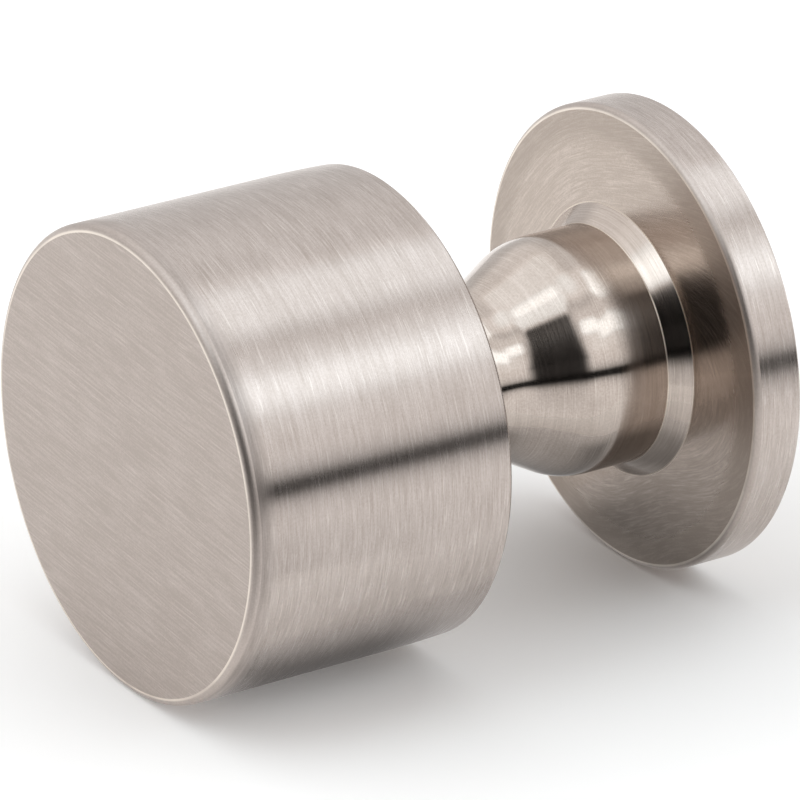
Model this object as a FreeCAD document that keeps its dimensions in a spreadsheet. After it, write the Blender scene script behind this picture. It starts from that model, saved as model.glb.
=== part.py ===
import FreeCAD, Part
import math
import os

import Sketcher

# Cabinet knob, turned in one piece: a round base plate, a stem that flares out of it through a
# conical foot, swells into a bulb and draws in to a neck, and a plain drum for a head.
# The knob is drawn standing on its plate and then laid over, as it stands out from an upright
# door: +Z is up, the head points along -Y, and the origin is the centre of the plate's back.

# Driving sizes in millimetres and degrees: name, value, meaning
SIZES = (
    ("plate_radius", 14.3, "base plate, outer radius"),
    ("plate_thickness", 3.2, "base plate, thickness where the rim's round meets the face"),
    ("plate_rise", 0.3, "how much the plate's face rises from there to the foot of the stem"),
    ("plate_edge_round", 0.4, "round on the front edge of the plate"),
    ("plate_back_chamfer", 0.15, "small chamfer on the back edge of the plate"),
    ("neck_radius", 4.9, "stem, radius of the neck behind the head"),
    ("bulb_swell", 2.4, "how far the bulb stands out beyond the neck"),
    ("bulb_length", 3.2, "straight length of the bulb beyond the foot"),
    ("shoulder_round", 5.0, "round where the bulb turns in to the shoulder"),
    ("shoulder_slope", 29.0, "slope of the shoulder to the axis, in degrees"),
    ("neck_round", 5.0, "hollow round where the shoulder runs into the neck"),
    ("foot_flare", 1.05, "how far the conical foot spreads beyond the bulb"),
    ("foot_height", 1.15, "height of the conical foot above the plate's face"),
    ("foot_round", 0.12, "small hollow rounds at both ends of the foot"),
    ("stem_length", 16.7, "stem, from the plate's face to the back of the head"),
    ("head_radius", 14.3, "head, outer radius"),
    ("head_length", 17.6, "head, length of the drum"),
    ("head_front_round", 0.5, "round on the front edge of the head"),
    ("head_back_chamfer", 0.2, "small chamfer on the back edge of the head"),
    ("head_taper_length", 3.8, "length over which the side falls away to the back edge"),
    ("head_taper_drop", 0.1, "how far the side has fallen at the back edge"),
    ("screw_hole_diameter", 3.45, "tapping drill for the mounting screw"),
    ("screw_hole_depth", 14.0, "depth of the full bore"),
    ("screw_hole_mouth", 4.6, "diameter of the countersink at the mouth"),
    ("screw_hole_mouth_angle", 90.0, "full angle of the countersink, in degrees"),
    ("drill_point_angle", 118.0, "full angle of the drill's point, in degrees"),
)
SIZE = {name: value for name, value, meaning in SIZES}

# Heights above the plate's back, and radii that follow from the sizes
FACE_HEIGHT = "Sizes.plate_thickness + Sizes.plate_rise"
FOOT_TOP_HEIGHT = FACE_HEIGHT + " + Sizes.foot_height"
HEAD_BACK_HEIGHT = FACE_HEIGHT + " + Sizes.stem_length"
BULB_RADIUS = "Sizes.neck_radius + Sizes.bulb_swell"
FOOT_RADIUS = BULB_RADIUS + " + Sizes.foot_flare"

face_height = SIZE["plate_thickness"] + SIZE["plate_rise"]
foot_top_height = face_height + SIZE["foot_height"]
head_back_height = face_height + SIZE["stem_length"]
head_front_height = head_back_height + SIZE["head_length"]
bulb_radius = SIZE["neck_radius"] + SIZE["bulb_swell"]
foot_radius = bulb_radius + SIZE["foot_flare"]

# Points of a sketch element
START, END, CENTRE = 1, 2, 3
# A sketch's own horizontal and vertical axes, and the point where they cross
HORIZONTAL_AXIS, VERTICAL_AXIS = -1, -2
CROSSING = (HORIZONTAL_AXIS, START)
# How closely an edge's radius and height match the ones asked for
MATCH = 1e-4


def make_sheet(doc):
    """Every driving size, under its own name."""
    sheet = doc.addObject("Spreadsheet::Sheet", "Sizes")
    for row, (name, value, meaning) in enumerate(SIZES, start=1):
        sheet.set(f"A{row}", meaning)
        sheet.set(f"B{row}", str(value))
        sheet.setAlias(f"B{row}", name)
    return sheet


def origin_plane(body, role):
    """One of the body's own origin planes, by its role."""
    return next(feature for feature in body.Origin.OriginFeatures if feature.Role == role)


def add_sketch(body, name, role):
    """A sketch laid flat on one of the body's origin planes."""
    sketch = body.newObject("Sketcher::SketchObject", name)
    sketch.AttachmentSupport = [(origin_plane(body, role), "")]
    sketch.MapMode = "FlatFace"
    return sketch


def add_line(sketch, start, end):
    """A straight line between two points given as radius and height."""
    return sketch.addGeometry(Part.LineSegment(FreeCAD.Vector(*start, 0), FreeCAD.Vector(*end, 0)))


def add_arc(sketch, centre, radius, from_angle, to_angle):
    """An arc drawn anticlockwise between two angles given in radians."""
    circle = Part.Circle(FreeCAD.Vector(*centre, 0), FreeCAD.Vector(0, 0, 1), radius)
    return sketch.addGeometry(Part.ArcOfCircle(circle, from_angle, to_angle))


def join(sketch, first, first_end, second, second_end):
    """Puts an end of one element on an end of another."""
    sketch.addConstraint(Sketcher.Constraint("Coincident", first, first_end, second, second_end))


def join_smoothly(sketch, first, first_end, second, second_end):
    """Joins two ends so that they run on in the same direction."""
    sketch.addConstraint(Sketcher.Constraint("Tangent", first, first_end, second, second_end))


def align(sketch, direction, *elements):
    """Makes lines Horizontal or Vertical."""
    for element in elements:
        sketch.addConstraint(Sketcher.Constraint(direction, element))


def on_axis(sketch, element, end):
    """Puts the end of an element on the axis of the knob."""
    sketch.addConstraint(Sketcher.Constraint("PointOnObject", element, end, VERTICAL_AXIS))


def bind(sketch, name, constraint, expression):
    """Adds a dimension, names it and ties it to the sheet."""
    index = sketch.addConstraint(constraint)
    sketch.renameConstraint(index, name)
    sketch.setExpression("Constraints." + name, expression)


def set_radius_at(sketch, name, element, end, value, expression):
    """Distance of a point from the axis."""
    bind(sketch, name, Sketcher.Constraint("DistanceX", *CROSSING, element, end, value), expression)


def set_height_at(sketch, name, element, end, value, expression):
    """Height of a point above the plate's back."""
    bind(sketch, name, Sketcher.Constraint("DistanceY", *CROSSING, element, end, value), expression)


def revolve(body, name, sketch):
    """Turns a profile once around the axis of the knob."""
    feature = body.newObject("PartDesign::Revolution", name)
    feature.Profile = sketch
    feature.ReferenceAxis = (sketch, ["V_Axis"])
    feature.Angle = 360.0
    sketch.Visibility = False
    return feature


def make_plate(body):
    """The base plate: a disc with a rounded rim, its face rising very slightly to the stem."""
    rim = SIZE["plate_radius"]
    edge = SIZE["plate_edge_round"]
    thickness = SIZE["plate_thickness"]
    tilt = math.atan2(SIZE["plate_rise"], rim - edge - foot_radius)
    round_centre = (rim - edge, thickness - edge * math.cos(tilt))
    face_start = (round_centre[0] + edge * math.sin(tilt), thickness)

    sketch = add_sketch(body, "PlateProfile", "XZ_Plane")
    back = add_line(sketch, (0, 0), (rim, 0))
    side = add_line(sketch, (rim, 0), (rim, round_centre[1]))
    edge_arc = add_arc(sketch, round_centre, edge, 0, math.pi / 2 - tilt)
    face = add_line(sketch, face_start, (foot_radius, face_height))
    seat = add_line(sketch, (foot_radius, face_height), (0, face_height))
    axis = add_line(sketch, (0, face_height), (0, 0))
    join(sketch, back, START, *CROSSING)
    join(sketch, back, END, side, START)
    join_smoothly(sketch, side, END, edge_arc, START)
    join_smoothly(sketch, edge_arc, END, face, START)
    join(sketch, face, END, seat, START)
    join(sketch, seat, END, axis, START)
    join(sketch, axis, END, back, START)
    align(sketch, "Horizontal", back, seat)
    align(sketch, "Vertical", side)
    on_axis(sketch, seat, END)
    set_radius_at(sketch, "rim_radius", back, END, rim, "Sizes.plate_radius")
    bind(sketch, "edge_round",
         Sketcher.Constraint("Radius", edge_arc, edge), "Sizes.plate_edge_round")
    set_height_at(sketch, "rim_height", face, START, thickness, "Sizes.plate_thickness")
    set_radius_at(sketch, "seat_radius", face, END, foot_radius, FOOT_RADIUS)
    set_height_at(sketch, "seat_height", face, END, face_height, FACE_HEIGHT)
    return revolve(body, "Plate", sketch)


def make_stem(body):
    """The stem: conical foot, straight bulb, rounded shoulder, hollow sweep and neck."""
    slope = math.radians(SIZE["shoulder_slope"])
    shoulder = SIZE["shoulder_round"]
    hollow = SIZE["neck_round"]
    neck = SIZE["neck_radius"]
    bulb_top = foot_top_height + SIZE["bulb_length"]
    shoulder_end = (bulb_radius - shoulder * (1 - math.cos(slope)), bulb_top + shoulder * math.sin(slope))
    hollow_start_radius = neck + hollow * (1 - math.cos(slope))
    run_height = (shoulder_end[0] - hollow_start_radius) / math.tan(slope)
    hollow_start = (hollow_start_radius, shoulder_end[1] + run_height)
    neck_start_height = hollow_start[1] + hollow * math.sin(slope)

    sketch = add_sketch(body, "StemProfile", "XZ_Plane")
    base = add_line(sketch, (0, face_height), (foot_radius, face_height))
    foot = add_line(sketch, (foot_radius, face_height), (bulb_radius, foot_top_height))
    bulb = add_line(sketch, (bulb_radius, foot_top_height), (bulb_radius, bulb_top))
    shoulder_arc = add_arc(sketch, (bulb_radius - shoulder, bulb_top), shoulder, 0, slope)
    run = add_line(sketch, shoulder_end, hollow_start)
    hollow_centre = (neck + hollow, neck_start_height)
    hollow_arc = add_arc(sketch, hollow_centre, hollow, math.pi, math.pi + slope)
    neck_line = add_line(sketch, (neck, neck_start_height), (neck, head_back_height))
    top = add_line(sketch, (neck, head_back_height), (0, head_back_height))
    axis = add_line(sketch, (0, head_back_height), (0, face_height))

    join(sketch, base, END, foot, START)
    join(sketch, foot, END, bulb, START)
    join_smoothly(sketch, bulb, END, shoulder_arc, START)
    join_smoothly(sketch, shoulder_arc, END, run, START)
    join_smoothly(sketch, run, END, hollow_arc, END)
    join_smoothly(sketch, hollow_arc, START, neck_line, START)
    join(sketch, neck_line, END, top, START)
    join(sketch, top, END, axis, START)
    join(sketch, axis, END, base, START)
    align(sketch, "Horizontal", base, top)
    align(sketch, "Vertical", bulb, neck_line)
    on_axis(sketch, base, START)
    on_axis(sketch, top, END)
    set_height_at(sketch, "base_height", base, START, face_height, FACE_HEIGHT)
    set_radius_at(sketch, "foot_radius", base, END, foot_radius, FOOT_RADIUS)
    set_radius_at(sketch, "bulb_radius", bulb, START, bulb_radius, BULB_RADIUS)
    set_height_at(sketch, "foot_top_height", foot, END, foot_top_height, FOOT_TOP_HEIGHT)
    bind(sketch, "bulb_length",
         Sketcher.Constraint("DistanceY", bulb, START, bulb, END, SIZE["bulb_length"]),
         "Sizes.bulb_length")
    bind(sketch, "shoulder_round",
         Sketcher.Constraint("Radius", shoulder_arc, shoulder), "Sizes.shoulder_round")
    bind(sketch, "shoulder_slope",
         Sketcher.Constraint("Angle", VERTICAL_AXIS, START, run, START, slope),
         "Sizes.shoulder_slope * 1 deg")
    bind(sketch, "neck_round", Sketcher.Constraint("Radius", hollow_arc, hollow), "Sizes.neck_round")
    set_radius_at(sketch, "neck_radius", neck_line, END, neck, "Sizes.neck_radius")
    set_height_at(sketch, "head_back_height", neck_line, END, head_back_height, HEAD_BACK_HEIGHT)
    return revolve(body, "Stem", sketch)


def make_head(body):
    """The head: a drum whose side falls away a little towards its chamfered back edge."""
    radius = SIZE["head_radius"]
    drop = SIZE["head_taper_drop"]
    chamfer = SIZE["head_back_chamfer"]
    edge_height = head_back_height + chamfer
    fall_height = head_back_height + SIZE["head_taper_length"]
    fall_length = fall_height - edge_height
    fall_radius = (fall_length ** 2 + drop ** 2) / (2 * drop)
    fall_angle = -math.asin(fall_length / fall_radius)

    sketch = add_sketch(body, "HeadProfile", "XZ_Plane")
    back = add_line(sketch, (0, head_back_height), (radius - drop - chamfer, head_back_height))
    bevel = add_line(sketch, (radius - drop - chamfer, head_back_height), (radius - drop, edge_height))
    fall = add_arc(sketch, (radius - fall_radius, fall_height), fall_radius, fall_angle, 0)
    side = add_line(sketch, (radius, fall_height), (radius, head_front_height))
    front = add_line(sketch, (radius, head_front_height), (0, head_front_height))
    axis = add_line(sketch, (0, head_front_height), (0, head_back_height))
    join(sketch, back, END, bevel, START)
    join(sketch, bevel, END, fall, START)
    join_smoothly(sketch, fall, END, side, START)
    join(sketch, side, END, front, START)
    join(sketch, front, END, axis, START)
    join(sketch, axis, END, back, START)
    align(sketch, "Horizontal", back, front)
    align(sketch, "Vertical", side)
    on_axis(sketch, back, START)
    on_axis(sketch, front, END)
    set_height_at(sketch, "head_back_height", back, START, head_back_height, HEAD_BACK_HEIGHT)
    set_radius_at(sketch, "head_radius", side, END, radius, "Sizes.head_radius")
    set_radius_at(sketch, "bevel_start_radius", bevel, START, radius - drop - chamfer,
                  "Sizes.head_radius - Sizes.head_taper_drop - Sizes.head_back_chamfer")
    set_radius_at(sketch, "bevel_end_radius", bevel, END, radius - drop,
                  "Sizes.head_radius - Sizes.head_taper_drop")
    set_height_at(sketch, "bevel_end_height", bevel, END, edge_height,
                  HEAD_BACK_HEIGHT + " + Sizes.head_back_chamfer")
    set_height_at(sketch, "fall_height", side, START, fall_height,
                  HEAD_BACK_HEIGHT + " + Sizes.head_taper_length")
    set_height_at(sketch, "head_front_height", side, END, head_front_height,
                  HEAD_BACK_HEIGHT + " + Sizes.head_length")
    return revolve(body, "Head", sketch)


def edges_at(shape, radius, height):
    """Names of the round edges of this radius at this height."""
    names = []
    for number, edge in enumerate(shape.Edges, start=1):
        curve = edge.Curve
        if not isinstance(curve, Part.Circle):
            continue
        if abs(curve.Radius - radius) < MATCH and abs(curve.Center.z - height) < MATCH:
            names.append(f"Edge{number}")
    return names


def dress_edges(body, kind, name, rings, expression):
    """A Fillet or Chamfer on the edges that lie at the given radii and heights."""
    base = body.Tip
    edges = [edge for radius, height in rings for edge in edges_at(base.Shape, radius, height)]
    if len(edges) < len(rings):
        raise RuntimeError(f"{name}: an edge to dress is missing")
    dressing = body.newObject("PartDesign::" + kind, name)
    dressing.Base = (base, edges)
    dressing.setExpression("Radius" if kind == "Fillet" else "Size", expression)
    base.Visibility = False
    return dressing


def make_edge_dressings(doc, body):
    """Rounds and chamfers, each on edges found on the finished shape below it."""
    head_front = (SIZE["head_radius"], head_front_height)
    plate_back = (SIZE["plate_radius"], 0)
    foot_ends = [(foot_radius, face_height), (bulb_radius, foot_top_height)]
    dressings = (
        ("Fillet", "HeadFrontRound", [head_front], "Sizes.head_front_round"),
        ("Chamfer", "PlateBackChamfer", [plate_back], "Sizes.plate_back_chamfer"),
        ("Fillet", "FootRounds", foot_ends, "Sizes.foot_round"),
    )
    for kind, name, rings, expression in dressings:
        dress_edges(body, kind, name, rings, expression)
        doc.recompute()


def make_screw_hole(doc, body):
    """The blind tapped hole in the plate's back, with a countersunk mouth."""
    sketch = add_sketch(body, "ScrewHoleCentre", "XY_Plane")
    mark = sketch.addGeometry(
        Part.Circle(FreeCAD.Vector(0, 0, 0), FreeCAD.Vector(0, 0, 1), SIZE["screw_hole_diameter"] / 2))
    join(sketch, mark, CENTRE, *CROSSING)
    bind(sketch, "hole_diameter",
         Sketcher.Constraint("Diameter", mark, SIZE["screw_hole_diameter"]),
         "Sizes.screw_hole_diameter")
    hole = body.newObject("PartDesign::Hole", "ScrewHole")
    hole.Profile = sketch
    doc.recompute()
    hole.Threaded = False
    hole.ThreadType = "None"
    hole.DepthType = "Dimension"
    hole.DrillPoint = "Angled"
    hole.HoleCutType = "Countersink"
    hole.HoleCutCustomValues = True
    hole.Reversed = True
    hole.setExpression("Diameter", "Sizes.screw_hole_diameter")
    hole.setExpression("Depth", "Sizes.screw_hole_depth")
    hole.setExpression("DrillPointAngle", "Sizes.drill_point_angle * 1 deg")
    hole.setExpression("HoleCutDiameter", "Sizes.screw_hole_mouth")
    hole.setExpression("HoleCutCountersinkAngle", "Sizes.screw_hole_mouth_angle * 1 deg")
    sketch.Visibility = False
    doc.recompute()
    return hole


def check_document(doc, bodies):
    """Stops if any object failed or any body is empty or faulty."""
    for item in doc.Objects:
        if "Invalid" in item.State or "Error" in item.State:
            raise RuntimeError(f"{item.Name} did not recompute: {item.State}")
    for body in bodies:
        if body.Shape.isNull() or not body.Shape.isValid():
            raise RuntimeError(f"{body.Label} has no valid shape")


doc = FreeCAD.newDocument("CabinetKnob")
make_sheet(doc)
doc.recompute()

knob = doc.addObject("PartDesign::Body", "Knob")
knob.Label = "knob"
make_plate(knob)
make_stem(knob)
make_head(knob)
doc.recompute()
make_edge_dressings(doc, knob)
volume_before_hole = knob.Shape.Volume
make_screw_hole(doc, knob)
if knob.Shape.Volume >= volume_before_hole:
    raise RuntimeError("the screw hole took nothing away")

# The knob is laid over, so that its axis is level and its head points along -Y
knob.Placement = FreeCAD.Placement(
    FreeCAD.Vector(0, 0, 0), FreeCAD.Rotation(FreeCAD.Vector(1, 0, 0), 90))
doc.recompute()
check_document(doc, [knob])

os.makedirs("parts", exist_ok=True)
knob.Shape.exportStep(os.path.join("parts", knob.Label + ".step"))
print("knob: volume", round(knob.Shape.Volume, 1), "mm3, faces", len(knob.Shape.Faces))
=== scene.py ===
import math

import bpy
import numpy as np
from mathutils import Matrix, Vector


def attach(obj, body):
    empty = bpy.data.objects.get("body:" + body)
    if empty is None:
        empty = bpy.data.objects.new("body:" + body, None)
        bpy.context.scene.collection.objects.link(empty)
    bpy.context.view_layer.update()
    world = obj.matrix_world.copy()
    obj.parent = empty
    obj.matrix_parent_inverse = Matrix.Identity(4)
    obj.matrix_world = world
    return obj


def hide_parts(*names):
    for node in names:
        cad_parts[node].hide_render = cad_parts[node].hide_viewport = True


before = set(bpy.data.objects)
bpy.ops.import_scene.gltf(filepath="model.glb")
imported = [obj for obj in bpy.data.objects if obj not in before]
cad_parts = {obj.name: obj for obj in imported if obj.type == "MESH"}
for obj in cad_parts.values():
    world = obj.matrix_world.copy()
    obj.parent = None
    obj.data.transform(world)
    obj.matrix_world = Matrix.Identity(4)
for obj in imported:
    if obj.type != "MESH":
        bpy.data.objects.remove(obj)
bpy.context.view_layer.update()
mm = 0.001
perMetre = 1000.0   # millimetres in a metre
micrometre = 1e-6
tiny = 1e-12        # keeps a zero length from being divided by
farAway = 1000.0    # in mm, more than any distance on the knob
white = (1.0, 1.0, 1.0, 1.0)

# A brushed nickel cabinet knob lying on a white table under a light tent.
# Its axis runs along Y: the plate's back is at y = 0 and the head points along -Y.

# heights above the plate's back and radii, in millimetres and degrees
knobForm = {
    "plateRadius": 14.3,
    "plateThickness": 3.2,
    "plateRise": 0.3,
    "plateEdgeRound": 0.4,
    "plateBackChamfer": 0.15,
    "neckRadius": 4.9,
    "bulbSwell": 2.4,
    "bulbLength": 3.2,
    "shoulderRound": 5.0,
    "shoulderSlope": 29.0,
    "neckRound": 5.0,
    "footFlare": 1.05,
    "footHeight": 1.15,
    "footRound": 0.12,
    "stemLength": 16.7,
    "headRadius": 14.3,
    "headLength": 17.6,
    "headFrontRound": 0.5,
    "headBackChamfer": 0.2,
    "headTaperLength": 3.8,
    "headTaperDrop": 0.1,
    "holeRadius": 1.725,
    "holeDepth": 14.0,
    "holeMouthRadius": 2.3,
    "drillPointAngle": 118.0,
    "threadPitch": 0.794,
    "threadDepth": 0.36,
    "threadSlope": 1.25,    # steepness of the vee: above 1 leaves flat roots
    "threadFlat": 0.1,      # share of the vee that its flat crests take away
    "threadFade": 0.5,      # length over which the thread begins and ends
    "threadRunout": 1.2,    # plain bore left below the thread
    "threadSteps": 170,
    "aroundSteps": 256,
}


def lineRun(start, end, steps):
    # straight run: point = start + t (end - start)
    t = np.linspace(0.0, 1.0, steps + 1)[:, None]
    return np.array(start) + t * (np.array(end) - np.array(start))


def arcRun(centre, radius, fromAngle, toAngle, steps):
    # round run: point = centre + radius (sin a, cos a), a = angle of the outward normal from the radius
    a = np.linspace(fromAngle, toAngle, steps + 1)
    return np.array(centre) + radius * np.stack([np.sin(a), np.cos(a)], -1)


def filletRun(before, corner, after, radius, steps):
    # the round that touches both lines at a corner: from one touching point to the other,
    # point = centre + (sin((1 - t) swing) start + sin(t swing) end) / sin swing
    toBefore = np.array(before) - corner
    toAfter = np.array(after) - corner
    toBefore = toBefore / np.linalg.norm(toBefore)
    toAfter = toAfter / np.linalg.norm(toAfter)
    half = math.acos(float(np.clip(toBefore @ toAfter, -1, 1))) / 2
    reach = radius / math.tan(half)
    middle = toBefore + toAfter
    centre = corner + middle / np.linalg.norm(middle) * (radius / math.sin(half))
    start = corner + toBefore * reach - centre
    end = corner + toAfter * reach - centre
    swing = math.pi - 2 * half
    t = np.linspace(0.0, 1.0, steps + 1)[:, None]
    return centre + (np.sin((1 - t) * swing) * start + np.sin(t * swing) * end) / math.sin(swing)


def knobProfile(form):
    # the whole outline as runs (zone, points), where each point = (height, radius) and a run's last number
    # is its count of steps; it goes from the drill point up the bore, round the plate, along the stem and
    # over the head
    plate = form["plateRadius"]
    thick = form["plateThickness"]
    face = thick + form["plateRise"]
    bulb = form["neckRadius"] + form["bulbSwell"]
    foot = bulb + form["footFlare"]
    footTop = face + form["footHeight"]
    edge = form["plateEdgeRound"]
    tilt = math.atan2(form["plateRise"], plate - edge - foot)
    slope = math.radians(form["shoulderSlope"])
    shoulder = form["shoulderRound"]
    hollow = form["neckRound"]
    neck = form["neckRadius"]
    bulbTop = footTop + form["bulbLength"]
    shoulderEnd = (bulbTop + shoulder * math.sin(slope), bulb - shoulder * (1 - math.cos(slope)))
    hollowRadius = neck + hollow * (1 - math.cos(slope))
    hollowStart = (shoulderEnd[0] + (shoulderEnd[1] - hollowRadius) / math.tan(slope), hollowRadius)
    neckStart = hollowStart[0] + hollow * math.sin(slope)
    headBack = face + form["stemLength"]
    headFront = headBack + form["headLength"]
    head = form["headRadius"]
    drop = form["headTaperDrop"]
    bevel = form["headBackChamfer"]
    fallEnd = headBack + form["headTaperLength"]
    fallLength = fallEnd - headBack - bevel
    fallRadius = (fallLength ** 2 + drop ** 2) / (2 * drop)
    fallAngle = math.asin(fallLength / fallRadius)
    frontRound = form["headFrontRound"]
    hole = form["holeRadius"]
    mouth = form["holeMouthRadius"]
    mouthDepth = mouth - hole
    tip = form["holeDepth"] + hole / math.tan(math.radians(form["drillPointAngle"] / 2))
    backEdge = form["plateBackChamfer"]
    rimTop = (thick - edge * math.cos(tilt), plate)
    faceStart = (thick, plate - edge + edge * math.sin(tilt))
    footLow = filletRun(faceStart, (face, foot), (footTop, bulb), form["footRound"], 6)
    footHigh = filletRun((face, foot), (footTop, bulb), (bulbTop, bulb), form["footRound"], 6)
    rimTurn = math.pi / 2 - tilt
    rimCentre = (rimTop[0], plate - edge)
    headCentre = (headFront - frontRound, head - frontRound)
    return [
        ("bore", lineRun((tip, 0.0), (form["holeDepth"], hole), 3)),
        ("thread", lineRun((form["holeDepth"], hole), (mouthDepth, hole), form["threadSteps"])),
        ("bore", lineRun((mouthDepth, hole), (0.0, mouth), 2)),
        ("back", lineRun((0.0, mouth), (0.0, plate - backEdge), 12)),
        ("side", lineRun((0.0, plate - backEdge), (backEdge, plate), 1)),
        ("side", lineRun((backEdge, plate), rimTop, 4)),
        ("edge", arcRun(rimCentre, edge, 0.0, rimTurn, 14)),
        ("plateFace", lineRun(faceStart, footLow[0], 10)),
        ("footCorner", footLow),
        ("foot", lineRun(footLow[-1], footHigh[0], 4)),
        ("footCorner", footHigh),
        ("stem", lineRun(footHigh[-1], (bulbTop, bulb), 6)),
        ("stem", arcRun((bulbTop, bulb - shoulder), shoulder, 0.0, slope, 10)),
        ("stem", lineRun(shoulderEnd, hollowStart, 4)),
        ("stem", arcRun((neckStart, neck + hollow), -hollow, slope, 0.0, 10)),
        ("stem", lineRun((neckStart, neck), (headBack, neck), 6)),
        ("back", lineRun((headBack, neck), (headBack, head - drop - bevel), 8)),
        ("side", lineRun((headBack, head - drop - bevel), (headBack + bevel, head - drop), 1)),
        ("side", arcRun((fallEnd, head - fallRadius), fallRadius, -fallAngle, 0.0, 8)),
        ("side", lineRun((fallEnd, head), (headFront - frontRound, head), 14)),
        ("edge", arcRun(headCentre, frontRound, 0.0, math.pi / 2, 16)),
        ("headFace", lineRun((headFront, head - frontRound), (headFront, 0.0), 12)),
    ]


def runNormals(points):
    # outward normal of an outline: the direction of travel (dh, dr) turned to (-dr, dh)
    step = np.diff(points, axis=0)
    step = step / np.linalg.norm(step, axis=1, keepdims=True)
    travel = np.vstack([step[:1], (step[1:] + step[:-1]) / 2, step[-1:]])
    if len(points) > 2:  # on an arc the end directions lie half a step beyond the first and last chords
        travel[0] = 2 * step[0] - travel[1]
        travel[-1] = 2 * step[-1] - travel[-2]
    normals = np.stack([-travel[:, 1], travel[:, 0]], -1)
    return normals / np.linalg.norm(normals, axis=1, keepdims=True)


def threadRise(height, angle, form):
    # a vee that winds round the bore: depth x |triangle wave of (height / pitch - angle / 2 pi)|, with flat
    # crests and roots, fading at both ends
    phase = height / form["threadPitch"] - angle / (2 * math.pi)
    vee = np.abs((phase % 1.0) * 2 - 1)
    vee = np.clip(vee * form["threadSlope"] - form["threadFlat"], 0.0, 1.0)
    begin = form["holeMouthRadius"] - form["holeRadius"]
    end = form["holeDepth"] - form["threadRunout"]
    fade = np.clip((height - begin) / form["threadFade"], 0, 1)
    fade = fade * np.clip((end - height) / form["threadFade"], 0, 1)
    return form["threadDepth"] * vee * fade


strokeTurn = {
    "faceAngle": -5.0,     # the straight strokes on the head's face, from level, in degrees
    # slant of the plate's strokes against the round direction, outwards positive, going round from +X:
    # its tangent = sum of (sine share, cosine share) x (1, 2, 3 turns)
    "plateSlant": ((-0.31, -0.41), (-0.21, 0.36), (-0.39, 0.0)),
    "mapSpan": 40.0,       # millimetres along the surface for one unit of the stroke map
    "sheenTurn": 0.25,     # turns from the stroke map's first direction to the sheen's
}


def slantGrowth(angle):
    # strokes of slant s lie on radius x exp(growth) = constant,
    # where growth = -integral of tan s over the angle
    total = 0.0
    for number, (s, c) in enumerate(strokeTurn["plateSlant"], 1):
        total = total + (s * np.cos(number * angle) - c * np.sin(number * angle)) / number
    return total


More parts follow.
